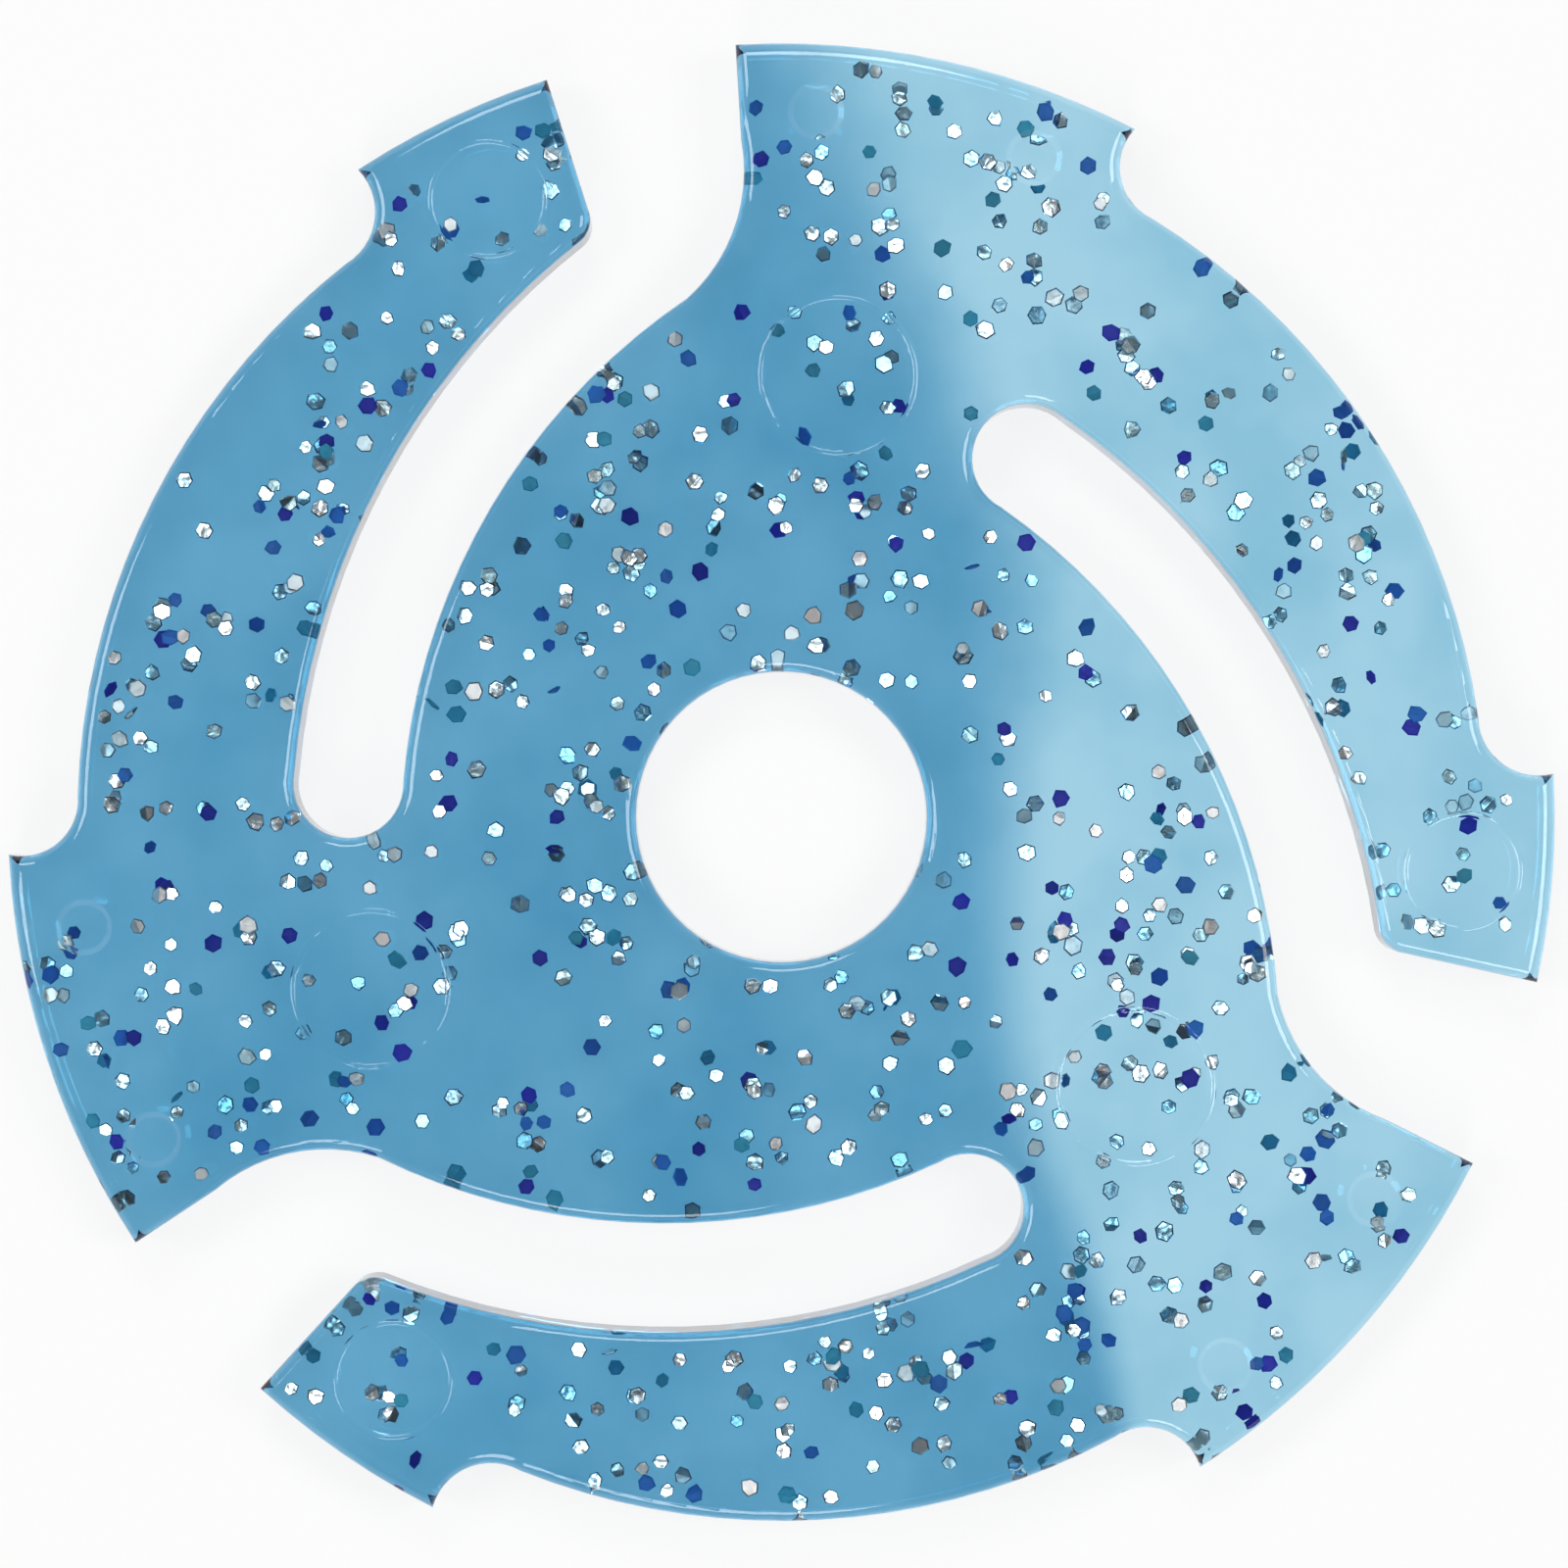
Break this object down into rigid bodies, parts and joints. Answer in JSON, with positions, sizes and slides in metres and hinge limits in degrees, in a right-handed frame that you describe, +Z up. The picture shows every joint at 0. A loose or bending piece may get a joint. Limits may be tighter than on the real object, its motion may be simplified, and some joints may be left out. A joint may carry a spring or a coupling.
{
  "type": "record spindle adapter",
  "caption": "Flat snap-in disc with curved spring arms and a central bore; it fits a large-hole record to a thin spindle.",
  "frame": {"origin": "on the bore's axis at the lower face, which the plate rests on", "axes": "+Z up along the bore's axis towards the face with the mould marks; +Y towards the lobe that is at the top in the picture"},
  "size_m": [0.0382, 0.0365, 0.002],
  "materials": {
    "blue_plastic": "glossy translucent blue with glitter in the resin"
  },
  "bodies": {
    "root": {"adapter": "blue_plastic"}
  },
  "joints": []
}
